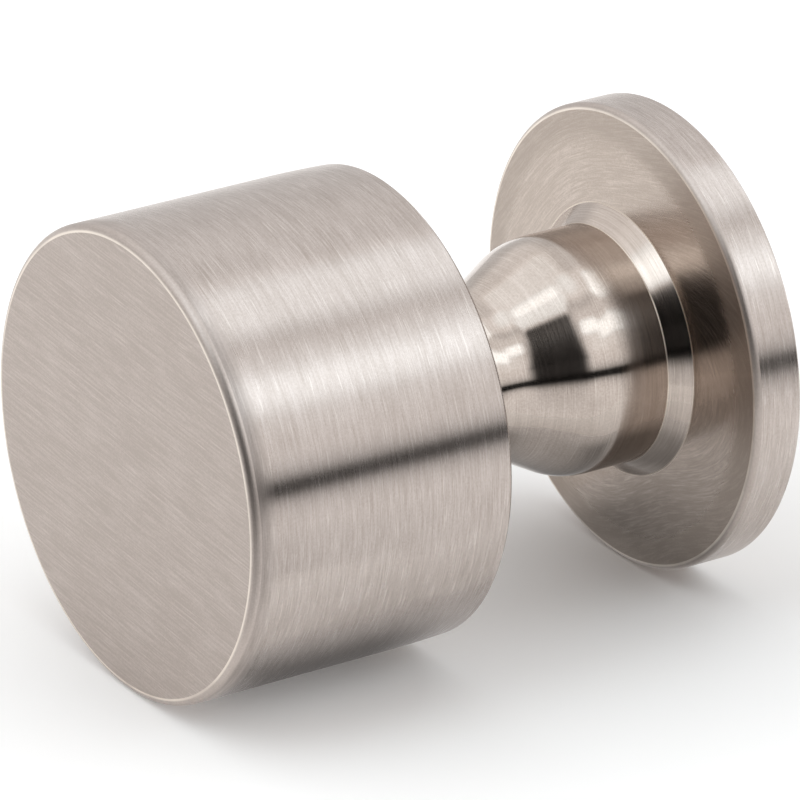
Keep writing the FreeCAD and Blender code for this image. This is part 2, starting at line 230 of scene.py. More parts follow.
def makeKnob(form):
    # point(height, angle a) = (r cos a, -height, r sin a),
    # with r = profile(height) + threadRise(height, angle)
    runs = knobProfile(form)
    around = form["aroundSteps"]
    angle = -math.pi / 2 + np.arange(around + 1) * (2 * math.pi / around)
    ringPoints = [runs[0][1][0]]
    spans = []
    for zone, points in runs:
        first = len(ringPoints) - 1
        ringPoints.extend(points[1:])
        spans.append((zone, first, points, runNormals(points)))
    rings = np.array(ringPoints)
    ringCount = len(rings)
    height = np.repeat(rings[:, :1], around + 1, axis=1)
    radius = np.repeat(rings[:, 1:], around + 1, axis=1)
    threadFirst = spans[1][1]
    threadLast = threadFirst + len(spans[1][2]) - 1
    inThread = np.zeros(ringCount, bool)
    inThread[threadFirst:threadLast + 1] = True
    radius = radius + np.where(inThread[:, None], threadRise(height, angle[None, :], form), 0.0)
    place = np.stack([radius * np.cos(angle), -height, radius * np.sin(angle)], -1)

    # corners: one point at each pole, one ring of points elsewhere
    corners = np.vstack([place[0, :1], place[1:-1, :around].reshape(-1, 3), place[-1, :1]])
    ringIndex = np.zeros((ringCount, around + 1), int)
    turnIndex = np.arange(around + 1) % around
    ringIndex[1:-1] = 1 + (np.arange(ringCount - 2) * around)[:, None] + turnIndex[None, :]
    ringIndex[-1] = len(corners) - 1

    # directions across the surface at every grid point, for the thread's own normals
    down = np.gradient(place, axis=0)
    turn = np.gradient(place, axis=1)
    ownNormal = np.cross(turn, down)
    ownNormal /= np.maximum(np.linalg.norm(ownNormal, axis=-1, keepdims=True), tiny)

    faceTurn = math.radians(strokeTurn["faceAngle"])
    faces, normals, uvs, zones = [], [], [], []
    for zone, first, points, outline in spans:
        rows = np.arange(first, first + len(points) - 1)
        low, high = rows[:, None], rows[:, None] + 1
        left, right = np.arange(around)[None, :], np.arange(around)[None, :] + 1
        grid = np.stack(np.broadcast_arrays(low, high, high, low), -1)
        column = np.stack(np.broadcast_arrays(left, left, right, right), -1)
        grid, column = np.broadcast_arrays(grid[..., ::-1], column[..., ::-1])
        loopAngle = angle[column]
        step = outline[grid - first]
        outward, endwise = step[..., 1], -step[..., 0]
        normal = np.stack([outward * np.cos(loopAngle), endwise, outward * np.sin(loopAngle)], -1)
        if zone == "thread":
            inner = (grid > first) & (grid < first + len(points) - 1)
            normal = np.where(inner[..., None], -ownNormal[grid, column], normal)
        spot = place[grid, column]
        if zone == "headFace":
            along = spot[..., 0] * math.cos(faceTurn) + spot[..., 2] * math.sin(faceTurn)
            across = spot[..., 2] * math.cos(faceTurn) - spot[..., 0] * math.sin(faceTurn)
        else:
            travelled = np.concatenate([[0], np.cumsum(np.linalg.norm(np.diff(points, axis=0), axis=1))])
            along = (loopAngle + math.pi / 2) * form["plateRadius"]
            across = np.broadcast_to(travelled[grid - first], along.shape)
            if zone == "plateFace":
                spread = np.hypot(spot[..., 0], spot[..., 2])
                across = -spread * np.exp(slantGrowth(loopAngle))
        index = ringIndex[grid, column]
        faces.append(index.reshape(-1, 4))
        normals.append(normal.reshape(-1, 4, 3))
        uvs.append((np.stack([along, across], -1) / strokeTurn["mapSpan"]).reshape(-1, 4, 2))
        zones.extend([zone] * (len(rows) * around))
    faces = np.concatenate(faces)
    normals = np.concatenate(normals)
    uvs = np.concatenate(uvs)

    # at the poles two corners of a face are one point, so the face is a triangle
    distinct = np.stack([faces[:, k] != faces[:, (k + 1) % 4] for k in range(4)], -1)
    sides = distinct.sum(1)
    loopStart = np.concatenate([[0], np.cumsum(sides)[:-1]])
    mesh = bpy.data.meshes.new("knobShell")
    mesh.vertices.add(len(corners))
    mesh.vertices.foreach_set("co", (corners * mm).ravel())
    mesh.loops.add(int(sides.sum()))
    mesh.loops.foreach_set("vertex_index", faces[distinct])
    mesh.polygons.add(len(faces))
    mesh.polygons.foreach_set("loop_start", loopStart)
    mesh.polygons.foreach_set("use_smooth", np.ones(len(faces), bool))
    slots = {name: number for number, name in enumerate(zoneFinish)}
    mesh.polygons.foreach_set("material_index", np.array([slots[zone] for zone in zones]))
    layer = mesh.uv_layers.new(name="strokes")
    layer.uv.foreach_set("vector", uvs[distinct].ravel())
    mesh.update(calc_edges=True)
    mesh.validate()
    loopNormals = normals[distinct]
    loopNormals /= np.linalg.norm(loopNormals, axis=1, keepdims=True)
    mesh.normals_split_custom_set(loopNormals)
    knob = bpy.data.objects.new("knobShell", mesh)
    bpy.context.scene.collection.objects.link(knob)
    return knob


def setSocket(tree, socket, value):
    # an output of another node is linked in; anything else becomes the socket's own value
    if isinstance(value, bpy.types.NodeSocket):
        tree.links.new(value, socket)
    else:
        socket.default_value = value


def addNode(tree, kind, inputs=None, **settings):
    # a node with its settings, and its inputs given by name or number
    node = tree.nodes.new(kind)
    for name, value in settings.items():
        setattr(node, name, value)
    for name, value in (inputs or {}).items():
        setSocket(tree, node.inputs[name], value)
    return node


def calc(tree, operation, first, second=None, third=None):
    # operation(first, second, third) on numbers
    given = {0: first}
    if second is not None:
        given[1] = second
    if third is not None:
        given[2] = third
    return addNode(tree, "ShaderNodeMath", given, operation=operation).outputs[0]


def vectorMath(tree, operation, first, second=None):
    # operation(first, second) on vectors; a length or a dot product is a number
    given = {0: first}
    if second is not None:
        given[1] = second
    node = addNode(tree, "ShaderNodeVectorMath", given, operation=operation)
    return node.outputs["Value"] if operation in ("LENGTH", "DOT_PRODUCT") else node.outputs["Vector"]


def vectorOf(tree, x=0.0, y=0.0, z=0.0):
    # the vector (x, y, z)
    return addNode(tree, "ShaderNodeCombineXYZ", {0: x, 1: y, 2: z}).outputs[0]


def alike(value):
    # (value, value, value)
    return (value, value, value)


def mapRange(tree, value, low, high, toLow=0.0, toHigh=1.0, smooth=True):
    # toLow up to low, toHigh from high on, and an even or smooth rise between them
    node = addNode(tree, "ShaderNodeMapRange",
                   {"Value": value, "From Min": low, "From Max": high, "To Min": toLow, "To Max": toHigh},
                   interpolation_type="SMOOTHSTEP" if smooth else "LINEAR")
    return node.outputs["Result"]


def mixColour(tree, factor, first, second, how="MIX"):
    # first + factor (how(first, second) - first)
    # a mix node's factor is its input 0, its colours are inputs 6 and 7 and output 2
    node = addNode(tree, "ShaderNodeMix", data_type="RGBA", blend_type=how)
    for socket, value in ((node.inputs[0], factor), (node.inputs[6], first), (node.inputs[7], second)):
        setSocket(tree, socket, value)
    return node.outputs[2]


def newGroup(name, inputs, outputs):
    # an empty node group with named inputs (label, kind, value) and outputs (label, kind)
    group = bpy.data.node_groups.new(name, "ShaderNodeTree")
    for label, kind, value in inputs:
        socket = group.interface.new_socket(label, in_out="INPUT", socket_type="NodeSocket" + kind)
        if value is not None:
            socket.default_value = value
    for label, kind in outputs:
        group.interface.new_socket(label, in_out="OUTPUT", socket_type="NodeSocket" + kind)
    source = group.nodes.new("NodeGroupInput").outputs
    sink = group.nodes.new("NodeGroupOutput").inputs
    return group, source, sink


def useGroup(tree, group, inputs):
    # the group as a node of this tree, with its inputs given by name
    node = tree.nodes.new("ShaderNodeGroup")
    node.node_tree = group
    for name, value in inputs.items():
        setSocket(tree, node.inputs[name], value)
    return node.outputs


def newMaterial(name):
    # an empty material, its node tree and the socket that its surface goes into
    material = bpy.data.materials.new(name)
    material.use_nodes = True
    tree = material.node_tree
    tree.nodes.clear()
    return material, tree, tree.nodes.new("ShaderNodeOutputMaterial").inputs["Surface"]


def makePlaceGroup():
    # where a point lies on the knob, in millimetres: radius from the axis, height above the back,
    # angle round the axis, and a round place (x, z, radius - height) in which strokes run round the axis
    group, source, sink = newGroup(
        "placeOnKnob",
        [("Vector", "Vector", None)],
        [("Radius", "Float"), ("Height", "Float"), ("Angle", "Float"), ("Round", "Vector"),
         ("Flat", "Vector"), ("Point", "Vector")])
    scaled = vectorMath(group, "MULTIPLY", source["Vector"], alike(perMetre))
    parts = addNode(group, "ShaderNodeSeparateXYZ", {0: scaled}).outputs
    level = vectorOf(group, parts[0], parts[2])
    radius = vectorMath(group, "LENGTH", level)
    height = calc(group, "MULTIPLY", parts[1], -1.0)
    across = calc(group, "ADD", radius, parts[1])
    angle = calc(group, "ARCTAN2", parts[2], parts[0])
    around = vectorOf(group, parts[0], parts[2], across)
    group.links.new(radius, sink["Radius"])
    group.links.new(height, sink["Height"])
    group.links.new(angle, sink["Angle"])
    group.links.new(around, sink["Round"])
    group.links.new(level, sink["Flat"])
    group.links.new(scaled, sink["Point"])
    return group


# The noises behind every finish's strokes. Size is in mm and scale a share of the finish's own stroke size;
# push sets one noise apart from the next; from and to are the noise levels that become 0 and 1.
strokeNoise = {
    "firstWaver": {"size": 5.0, "share": 1.0, "detail": 1.0, "roughness": 0.5, "push": 3.0},
    "secondWaver": {"size": 7.0, "share": -1.4, "detail": 1.0, "roughness": 0.5, "push": 9.0},
    "fine": {"share": 0.55, "detail": 2.0, "roughness": 0.6, "push": 0.0},
    "crossing": {"share": 0.45, "scale": 1.7, "detail": 2.0, "roughness": 0.6, "push": 19.0},
    "lines": {"from": 0.36, "to": 0.64},
    "bands": {"detail": 2.0, "roughness": 0.5, "push": 31.0, "from": 0.3, "to": 0.7},
    "scratches": {"scale": 0.9, "detail": 0.0, "roughness": 0.5, "push": 57.0, "from": 0.66, "to": 0.8},
    "patches": {"size": 3.2, "detail": 2.0, "roughness": 0.55, "push": 77.0, "from": 0.3, "to": 0.7},
    "grain": {"size": 0.13, "detail": 1.0, "roughness": 0.5, "push": 91.0, "from": 0.3, "to": 0.7},
}


def makeStrokeGroup():
    # noise drawn out along the strokes and wavering a little to the side, each result about 0..1
    group, source, sink = newGroup(
        "brushStrokes",
        [("Place", "Vector", None), ("Point", "Vector", None), ("Fine Size", "Vector", (1.6, 1.6, 0.1)),
         ("Band Size", "Vector", (7.0, 7.0, 0.5)), ("Waver", "Vector", (0.0, 0.0, 0.2)),
         ("Shift", "Float", 0.0)],
        [("Lines", "Float"), ("Bands", "Float"), ("Scratches", "Float"), ("Patches", "Float"),
         ("Grain", "Float")])
    shift = vectorOf(group, *alike(source["Shift"]))

    def drawn(place, size, noise):
        # noise at place / size + shift + push
        push = noise["push"]
        scaled = vectorMath(group, "ADD", vectorMath(group, "DIVIDE", place, size), shift)
        scaled = vectorMath(group, "ADD", scaled, (push, -push, push))
        return addNode(group, "ShaderNodeTexNoise",
                       {"Vector": scaled, "Scale": 1.0, "Detail": noise["detail"],
                        "Roughness": noise["roughness"]}).outputs["Fac"]

    def wavering(noise):
        # place + share x waver x (noise - 1/2): strokes that cross at small angles
        drift = calc(group, "SUBTRACT", drawn(source["Point"], alike(noise["size"]), noise), 0.5)
        amount = vectorMath(group, "MULTIPLY", vectorOf(group, *alike(drift)), source["Waver"])
        amount = vectorMath(group, "MULTIPLY", amount, alike(noise["share"]))
        return vectorMath(group, "ADD", source["Place"], amount)

    def strokeSize(noise):
        # the finish's own stroke size x scale
        return vectorMath(group, "MULTIPLY", source["Fine Size"], alike(noise["scale"]))

    first = wavering(strokeNoise["firstWaver"])
    second = wavering(strokeNoise["secondWaver"])
    fine = drawn(first, source["Fine Size"], strokeNoise["fine"])
    crossing = drawn(second, strokeSize(strokeNoise["crossing"]), strokeNoise["crossing"])
    fineShare = calc(group, "MULTIPLY", fine, strokeNoise["fine"]["share"])
    results = {
        "lines": calc(group, "MULTIPLY_ADD", crossing, strokeNoise["crossing"]["share"], fineShare),
        "bands": drawn(source["Place"], source["Band Size"], strokeNoise["bands"]),
        "scratches": drawn(second, strokeSize(strokeNoise["scratches"]), strokeNoise["scratches"]),
        "patches": drawn(source["Point"], alike(strokeNoise["patches"]["size"]), strokeNoise["patches"]),
        "grain": drawn(source["Point"], alike(strokeNoise["grain"]["size"]), strokeNoise["grain"]),
    }
    for name, value in results.items():
        low, high = strokeNoise[name]["from"], strokeNoise[name]["to"]
        spread = mapRange(group, value, low, high, smooth=name == "scratches")
        group.links.new(spread, sink[name.capitalize()])
    return group


# the tool marks round the foot: how many there are, and the slow noise that lets them show in places
toothMark = {"count": 145.0, "cut": (0.35, 0.95), "patchScale": 0.28, "patchDetail": 1.0,
             "patchShown": (0.44, 0.56)}


def makeToothGroup():
    # short cuts round the foot: |sine of (angle x count)| where slow noise lets them show, 0..1
    group, source, sink = newGroup(
        "toothMarks",
        [("Angle", "Float", 0.0), ("Flat", "Vector", None), ("Count", "Float", toothMark["count"])],
        [("Marks", "Float")])
    wave = calc(group, "SINE", calc(group, "MULTIPLY", source["Angle"], source["Count"]))
    cut = mapRange(group, calc(group, "ABSOLUTE", wave), *toothMark["cut"])
    patch = addNode(group, "ShaderNodeTexNoise",
                    {"Vector": source["Flat"], "Scale": toothMark["patchScale"],
                     "Detail": toothMark["patchDetail"]}).outputs["Fac"]
    shown = mapRange(group, patch, *toothMark["patchShown"])
    group.links.new(calc(group, "MULTIPLY", cut, shown), sink["Marks"])
    return group


# colours of the metal: its light and deep tones, scratches, the colour of painted highlights and tool
# marks, and the painted shade of the plate's outer ring
metal = {
    "light": (0.625, 0.553, 0.515, 1.0),
    "deep": (0.445, 0.383, 0.345, 1.0),
    "scratch": (0.76, 0.69, 0.64, 1.0),
    "highlightAndMarks": (0.84, 0.76, 0.68, 1.0),
    "dull": (0.30, 0.255, 0.225, 1.0),
}

# the painted highlight along an edge's crease: it fades between two distances from the crease in mm,
# and is strongest where the patches' noise is high
creaseHighlight = {"width": (0.08, 0.2), "patches": (-0.4, 0.8), "least": 0.3}

# Each finish has its stroke sizes in mm (thin across the strokes), how far they waver, and the shift that
# sets its noise apart; the share of the light metal, the contrast of lines, grain, bands and patches, and
# how far scratches show; roughness, its swing, anisotropy and the strokes' depth in micrometres. Some have
# a tint, an outer ring that is rougher and painted darker as shade, or a sanded band (from and to in mm), a
# painted highlight along a crease, or a painted sheen with brighter tool marks, called teeth.
finishes = {
    "headFace": {
        "fine": (2.6, 0.1, 1.0), "bands": (12.0, 0.6, 5.0), "waver": (0.0, 0.12, 0.0), "shift": 3.0,
        "tone": 0.2, "lines": 0.75, "grain": 0.3, "bandShare": 0.16, "patchShare": 0.14, "scratches": 0.3,
        "roughness": 0.42, "roughSwing": 0.08, "anisotropy": 0.7, "bump": 1.6},
    "side": {
        "fine": (2.0, 2.0, 0.1), "bands": (8.0, 8.0, 0.5), "waver": (0.0, 0.0, 0.12), "shift": 11.0,
        "tone": 0.57, "lines": 0.75, "grain": 0.3, "bandShare": 0.16, "patchShare": 0.16, "scratches": 0.5,
        "roughness": 0.265, "roughSwing": 0.03, "anisotropy": 0.96, "bump": 0.5,
        "sanded": {"from": 36.1, "to": 37.3, "roughness": 0.2}},
    "back": {
        "fine": (2.0, 2.0, 0.1), "bands": (9.0, 9.0, 0.8), "waver": (0.0, 0.0, 0.2), "shift": 17.0,
        "tone": 0.5, "lines": 0.5, "grain": 0.2, "bandShare": 0.2, "patchShare": 0.1, "scratches": 0.2,
        "roughness": 0.34, "roughSwing": 0.05, "anisotropy": 0.6, "bump": 0.9},
    "stem": {
        "fine": (3.0, 3.0, 0.075), "bands": (9.0, 9.0, 0.4), "waver": (0.0, 0.0, 0.15), "shift": 23.0,
        "tone": 0.5, "lines": 0.42, "grain": 0.4, "bandShare": 0.2, "patchShare": 0.35, "scratches": 0.4,
        "roughness": 0.127, "roughSwing": 0.03, "anisotropy": 0.8, "bump": 0.35,
        "tint": (1.0, 0.985, 0.955, 1.0)},
    "foot": {
        "fine": (3.0, 3.0, 0.075), "bands": (9.0, 9.0, 0.4), "waver": (0.0, 0.0, 0.15), "shift": 29.0,
        "tone": 0.5, "lines": 0.6, "grain": 0.2, "bandShare": 0.25, "patchShare": 0.3, "scratches": 0.4,
        "roughness": 0.13, "roughSwing": 0.03, "anisotropy": 0.8, "bump": 0.35,
        "tint": (1.0, 0.985, 0.955, 1.0)},
    "plateFace": {
        "fine": (1.3, 1.3, 0.08), "bands": (4.0, 4.0, 0.45), "waver": (0.0, 0.0, 0.3), "shift": 37.0,
        "tone": 0.14, "lines": 0.8, "grain": 0.35, "bandShare": 0.35, "patchShare": 0.3, "scratches": 0.25,
        "roughness": 0.2, "roughSwing": 0.05, "anisotropy": 0.55, "bump": 0.5,
        "tint": (1.0, 0.98, 0.945, 1.0),
        "ring": {"from": 11.6, "to": 12.9, "roughness": 0.15, "dull": 0.3}},
    "edge": {
        "fine": (2.0, 2.0, 0.06), "bands": (3.0, 3.0, 0.3), "waver": (0.0, 0.0, 0.05), "shift": 43.0,
        "tone": 0.42, "lines": 0.3, "grain": 0.3, "bandShare": 0.1, "patchShare": 0.3, "scratches": 0.0,
        "roughness": 0.42, "roughSwing": 0.03, "anisotropy": 0.4, "bump": 0.3, "creaseShine": 1.0},
    "footCorner": {
        "fine": (1.0, 1.0, 0.06), "bands": (3.0, 3.0, 0.3), "waver": (0.0, 0.0, 0.05), "shift": 47.0,
        "tone": 0.5, "lines": 0.3, "grain": 0.2, "bandShare": 0.1, "patchShare": 0.4, "scratches": 0.0,
        "roughness": 0.3, "roughSwing": 0.05, "anisotropy": 0.4, "bump": 0.4,
        "sheenAndMarks": 0.28, "teeth": 0.85, "tint": (1.0, 0.97, 0.92, 1.0)},
    "bore": {
        "fine": (2.0, 2.0, 0.1), "bands": (5.0, 5.0, 0.4), "waver": (0.0, 0.0, 0.1), "shift": 41.0,
        "tone": 0.5, "lines": 0.4, "grain": 0.1, "bandShare": 0.2, "patchShare": 0.1, "scratches": 0.0,
        "roughness": 0.3, "roughSwing": 0.05, "anisotropy": 0.5, "bump": 0.3},
}
# each zone of the outline has the finish of its own name, and the thread has the bore's
zoneFinish = {name: name for name in finishes} | {"thread": "bore"}
toneShares = {"Lines": "lines", "Grain": "grain", "Bands": "bandShare", "Patches": "patchShare"}


def strokePlace(tree, finish, place):
    # the coordinates in which this finish's strokes are drawn out
    if finish == "headFace":  # straight strokes, turned a little from level
        turn = math.radians(strokeTurn["faceAngle"])
        along = vectorMath(tree, "DOT_PRODUCT", place["Flat"], (math.cos(turn), math.sin(turn), 0.0))
        across = vectorMath(tree, "DOT_PRODUCT", place["Flat"], (-math.sin(turn), math.cos(turn), 0.0))
        return vectorOf(tree, along, across)
    if finish == "plateFace":  # strokes that slant as they go round: (x, z, radius x growth)
        across = calc(tree, "MULTIPLY", place["Radius"], plateGrowth(tree, place["Angle"]))
        return vectorMath(tree, "ADD", place["Flat"], vectorOf(tree, z=across))
    return place["Round"]


def plateGrowth(tree, angle):
    # exp(slantGrowth) with nodes: exp(sum of (sine share x cos(n angle) - cosine share x sin(n angle)) / n)
    total = 0.0
    for number, (s, c) in enumerate(strokeTurn["plateSlant"], 1):
        turned = calc(tree, "MULTIPLY", angle, float(number))
        total = calc(tree, "MULTIPLY_ADD", calc(tree, "COSINE", turned), s / number, total)
        total = calc(tree, "MULTIPLY_ADD", calc(tree, "SINE", turned), -c / number, total)
    return calc(tree, "EXPONENT", total)


def creaseLine(tree, place):
    # 1 along the crease where an edge round meets a flat face, falling to 0 over the width of its painted
    # highlight
    nearest = farAway
    spot = vectorOf(tree, place["Height"], place["Radius"])
    for zone, points in knobProfile(knobForm):
        if zone in ("plateFace", "headFace"):
            away = vectorMath(tree, "SUBTRACT", spot, (float(points[0][0]), float(points[0][1]), 0.0))
            nearest = calc(tree, "MINIMUM", vectorMath(tree, "LENGTH", away), nearest)
    return mapRange(tree, nearest, *creaseHighlight["width"], 1.0, 0.0)


def makeFinish(name, placeGroup, strokeGroup, toothGroup):
    # tone = own tone + sum of share x (noise - 1/2), from the deep metal at 0 to the light metal at 1;
    # then the scratches, rougher ring with painted shade, sanded band, painted crease highlight, painted
    # sheen and teeth, and tint that this finish has
    look = finishes[name]
    material, tree, surface = newMaterial("nickel" + name[0].upper() + name[1:])
    coords = tree.nodes.new("ShaderNodeTexCoord").outputs["Object"]
    place = useGroup(tree, placeGroup, {"Vector": coords})
    strokes = useGroup(tree, strokeGroup, {
        "Place": strokePlace(tree, name, place), "Point": place["Point"], "Fine Size": look["fine"],
        "Band Size": look["bands"], "Waver": look["waver"], "Shift": look["shift"]})
    tone = look["tone"]
    for part, share in toneShares.items():
        tone = calc(tree, "MULTIPLY_ADD", calc(tree, "SUBTRACT", strokes[part], 0.5), look[share], tone)
    tone = calc(tree, "MINIMUM", calc(tree, "MAXIMUM", tone, 0.0), 1.0)
    colour = mixColour(tree, tone, metal["deep"], metal["light"])
    scratched = calc(tree, "MULTIPLY", strokes["Scratches"], look["scratches"])
    colour = mixColour(tree, scratched, colour, metal["scratch"])
    rough = calc(tree, "MULTIPLY_ADD", calc(tree, "SUBTRACT", strokes["Lines"], 0.5), look["roughSwing"],
                  look["roughness"])
    if "ring" in look:  # the outer ring of the plate's face is rougher, and painted darker as shade
        ring = mapRange(tree, place["Radius"], look["ring"]["from"], look["ring"]["to"])
        rough = calc(tree, "MULTIPLY_ADD", ring, look["ring"]["roughness"], rough)
        colour = mixColour(tree, calc(tree, "MULTIPLY", ring, look["ring"]["dull"]), colour, metal["dull"])
    if "sanded" in look:  # a band beside the head's front edge is rubbed matt
        sanded = mapRange(tree, place["Height"], look["sanded"]["from"], look["sanded"]["to"])
        rough = calc(tree, "MULTIPLY_ADD", sanded, look["sanded"]["roughness"], rough)
    if "creaseShine" in look:  # painted highlight: the line along the crease is painted brighter
        creaseShine = mapRange(tree, strokes["Patches"], *creaseHighlight["patches"], creaseHighlight["least"], look["creaseShine"])
        creaseShine = calc(tree, "MULTIPLY", creaseLine(tree, place), creaseShine)
        colour = mixColour(tree, creaseShine, colour, metal["highlightAndMarks"])
    if "teeth" in look:  # painted sheen over the whole round, brighter still in the real tool marks
        teeth = useGroup(tree, toothGroup, {"Angle": place["Angle"], "Flat": place["Flat"]})["Marks"]
        sheenAndMarks = calc(tree, "MULTIPLY_ADD", teeth, look["teeth"] - look["sheenAndMarks"], look["sheenAndMarks"])
        colour = mixColour(tree, sheenAndMarks, colour, metal["highlightAndMarks"])
    if "tint" in look:
        colour = mixColour(tree, 1.0, colour, look["tint"], "MULTIPLY")
    bump = addNode(tree, "ShaderNodeBump",
                   {"Height": strokes["Lines"], "Strength": 1.0, "Distance": look["bump"] * micrometre})
    tangent = addNode(tree, "ShaderNodeTangent", direction_type="UV_MAP", uv_map="strokes").outputs[0]
    shader = addNode(tree, "ShaderNodeBsdfPrincipled",
                     {"Base Color": colour, "Metallic": 1.0, "Roughness": rough, "Normal": bump.outputs[0],
                      "Tangent": tangent, "Anisotropic": look["anisotropy"],
                      "Anisotropic Rotation": strokeTurn["sheenTurn"]})
    tree.links.new(shader.outputs[0], surface)
    return material


# Level in mm, size in metres. The table's own light is only added away from the knob,
# rising between two distances in mm.
tableTop = {"level": -14.3, "size": 6.0, "colour": (0.92, 0.9, 0.885, 1.0), "lift": 0.19, "liftFrom": 4.0,
            "liftTo": 52.0}

# The light tent, radius in metres: its level rises from base to roof between two elevations in degrees.
# Azimuth is 0 in front of the head and 90 to its right. Each patch has its azimuths, its elevations, the
# softness of its edges (leftSoft and rightSoft where one side differs) and its level; lean moves its right
# edge with elevation. A grid is (from, up to, step).
tent = {
    "radius": 1.5,
    "azimuthGrid": (-180.0, 181.0, 1.5),
    "elevationGrid": ((-1.0, 60.0, 1.0), (60.0, 90.1, 2.0)),
    "base": 0.78,
    "roof": 1.5,
    "roofFrom": 62.0,
    "roofTo": 84.0,
    "patches": (
        {"azimuth": (180.0, 260.0), "elevation": (36.0, 76.0), "soft": 12.0, "level": 0.95},
        {"azimuth": (-112.0, -8.0), "elevation": (20.0, 76.0), "soft": 14.0, "level": 1.05},
        {"azimuth": (-105.0, 6.0), "elevation": (46.0, 78.0), "soft": 12.0, "level": 1.34},
        {"azimuth": (140.0, 210.0), "elevation": (56.0, 77.0), "soft": 12.0, "level": 1.15},
        {"azimuth": (60.0, 150.0), "elevation": (44.0, 62.0), "soft": 10.0, "level": 1.06},
        {"azimuth": (64.0, 150.0), "elevation": (-2.0, 50.0), "soft": 6.0, "level": 0.7},
        {"azimuth": (72.0, 150.0), "elevation": (9.0, 50.0), "soft": 9.0, "level": 1.1},
        {"azimuth": (80.0, 150.0), "elevation": (20.0, 48.0), "soft": 10.0, "level": 1.28},
        {"azimuth": (103.0, 160.0), "elevation": (30.5, 44.0), "soft": 5.0, "level": 2.1, "leftSoft": 10.0},
        {"azimuth": (73.0, 106.0), "elevation": (38.5, 50.5), "soft": 7.0, "level": 2.1, "leftSoft": 14.0},
        {"azimuth": (148.0, 195.0), "elevation": (51.5, 65.0), "soft": 8.0, "level": 2.1,
         "rightSoft": 20.0},
        {"azimuth": (-14.0, 20.0), "elevation": (36.0, 75.0), "soft": 9.0, "level": 2.05, "leftSoft": 24.0,
         "rightSoft": 14.0},
        {"azimuth": (18.0, 48.0), "elevation": (56.0, 75.0), "soft": 5.0, "level": 1.55},
        {"azimuth": (19.5, 90.0), "elevation": (-6.0, 54.5), "soft": 4.0, "level": 0.01, "lean": -0.62,
         "rightSoft": 12.0},
    ),
}
# the brightest parts of the tent are cooler: white up to one level, this colour from the next
glowCool = {"colour": (0.93, 1.0, 1.04, 1.0), "from": 1.1, "to": 1.6}

# A card between the knob and the table's far edge, seen from a point on the head's side; it is dark along
# a line of (azimuth, elevation) in degrees. Rows are (degrees from that line, level): those under it lie on
# the table, and their levels are painted shade of the table for the reflections.
darkCard = {
    "eye": (14.0, -29.0, 3.3),
    "azimuth": (-12.0, 154.0),
    "columns": 84,
    "line": ((60.0, -0.3), (85.0, 0.45), (92.0, 0.5), (100.0, 0.3), (106.0, 0.0), (112.0, -0.45),
             (120.0, -1.25), (127.0, -2.3), (133.0, -3.2), (139.0, -4.15), (146.5, -5.6), (154.0, -7.2)),
    "rows": ((-52.0, 0.95), (-40.0, 0.97), (-30.0, 0.99), (-20.0, 1.06), (-13.0, 1.04), (-9.0, 0.93),
             (-7.0, 0.8), (-5.0, 0.6), (-3.7, 0.42), (-3.0, 0.17), (-2.4, 0.01), (2.4, 0.01), (3.2, 0.25),
             (4.5, 0.56), (7.0, 0.82), (9.0, 0.95), (12.5, 1.08), (16.0, 1.16)),
    "aboveTable": 0.02,                 # in mm
    "leastFall": 1e-3,                  # the flattest ray that is carried to the table, as a tangent
    "sideFrom": (70.0, 85.0),           # the part above the line is dark in front of these azimuths
    "darkest": 0.02,                    # its level there
    "front": ((20.0, 1.0), (80.0, 0.3), (150.0, 0.04)),   # painted shade: the table's part darkens with -y in mm
    "edgeBlend": 24.0,                  # the first azimuths go over into the plain table's level
    "edgeLevel": 0.92,
}

# A dim card on the table under the knob: painted shadow for the reflections in its underside and in the
# plate.
# Level is given along y, in mm.
shadeCard = {"x": (-9.0, 13.0), "y": (-37.0, -0.5), "columns": 40, "rows": 24, "aboveTable": 0.03,
             "soft": 5.0, "rim": 0.6,
             "level": ((-24.0, 0.18), (-19.0, 0.6), (-13.0, 0.5), (-9.0, 0.32), (-4.0, 0.18))}


def skyDirection(azimuth, elevation):
    # unit direction = (sin a cos e, -cos a cos e, sin e)
    a, e = np.radians(azimuth), np.radians(elevation)
    return np.stack([np.sin(a) * np.cos(e), -np.cos(a) * np.cos(e), np.sin(e) + 0 * a], -1)


def glowing(name):
    # plain light-giving material; its level is the mesh's attribute "glow"
    material, tree, surface = newMaterial(name)
    level = addNode(tree, "ShaderNodeAttribute", attribute_name="glow").outputs["Fac"]
    cool = mapRange(tree, level, glowCool["from"], glowCool["to"])
    shader = addNode(tree, "ShaderNodeEmission",
                     {"Color": mixColour(tree, cool, white, glowCool["colour"]), "Strength": level})
    tree.links.new(shader.outputs[0], surface)
    material.cycles.emission_sampling = "NONE"
    return material


def setGlow(thing, levels):
    # one level for each point, kept as the attribute "glow"
    glow = thing.data.attributes.new("glow", "FLOAT", "POINT")
    glow.data.foreach_set("value", np.asarray(levels, np.float32).ravel())


def seenInReflections(card):
    # the camera doesn't see the card, and it neither lights nor shades what lies about it
    card.visible_camera = False
    card.visible_diffuse = False
    card.visible_shadow = False


def addStageMesh(name, points, faces, material):
    # a smooth mesh that belongs to the stage and not to the knob
    mesh = bpy.data.meshes.new(name)
    mesh.from_pydata(np.asarray(points).reshape(-1, 3).tolist(), [], faces.tolist())
    mesh.polygons.foreach_set("use_smooth", np.ones(len(mesh.polygons), bool))
    mesh.materials.append(material)
    thing = bpy.data.objects.new(name, mesh)
    bpy.context.scene.collection.objects.link(thing)
    return thing


def gridFaces(rows, columns):
    # the four-sided faces between neighbouring points of a grid
    index = np.arange(rows * columns).reshape(rows, columns)
    return np.stack([index[:-1, :-1], index[1:, :-1], index[1:, 1:], index[:-1, 1:]], -1).reshape(-1, 4)


def ramp(value, low, high):
    # smooth rise from 0 at low to 1 at high: 3 t^2 - 2 t^3
    t = np.clip((value - low) / (high - low), 0.0, 1.0)
    return t * t * (3 - 2 * t)


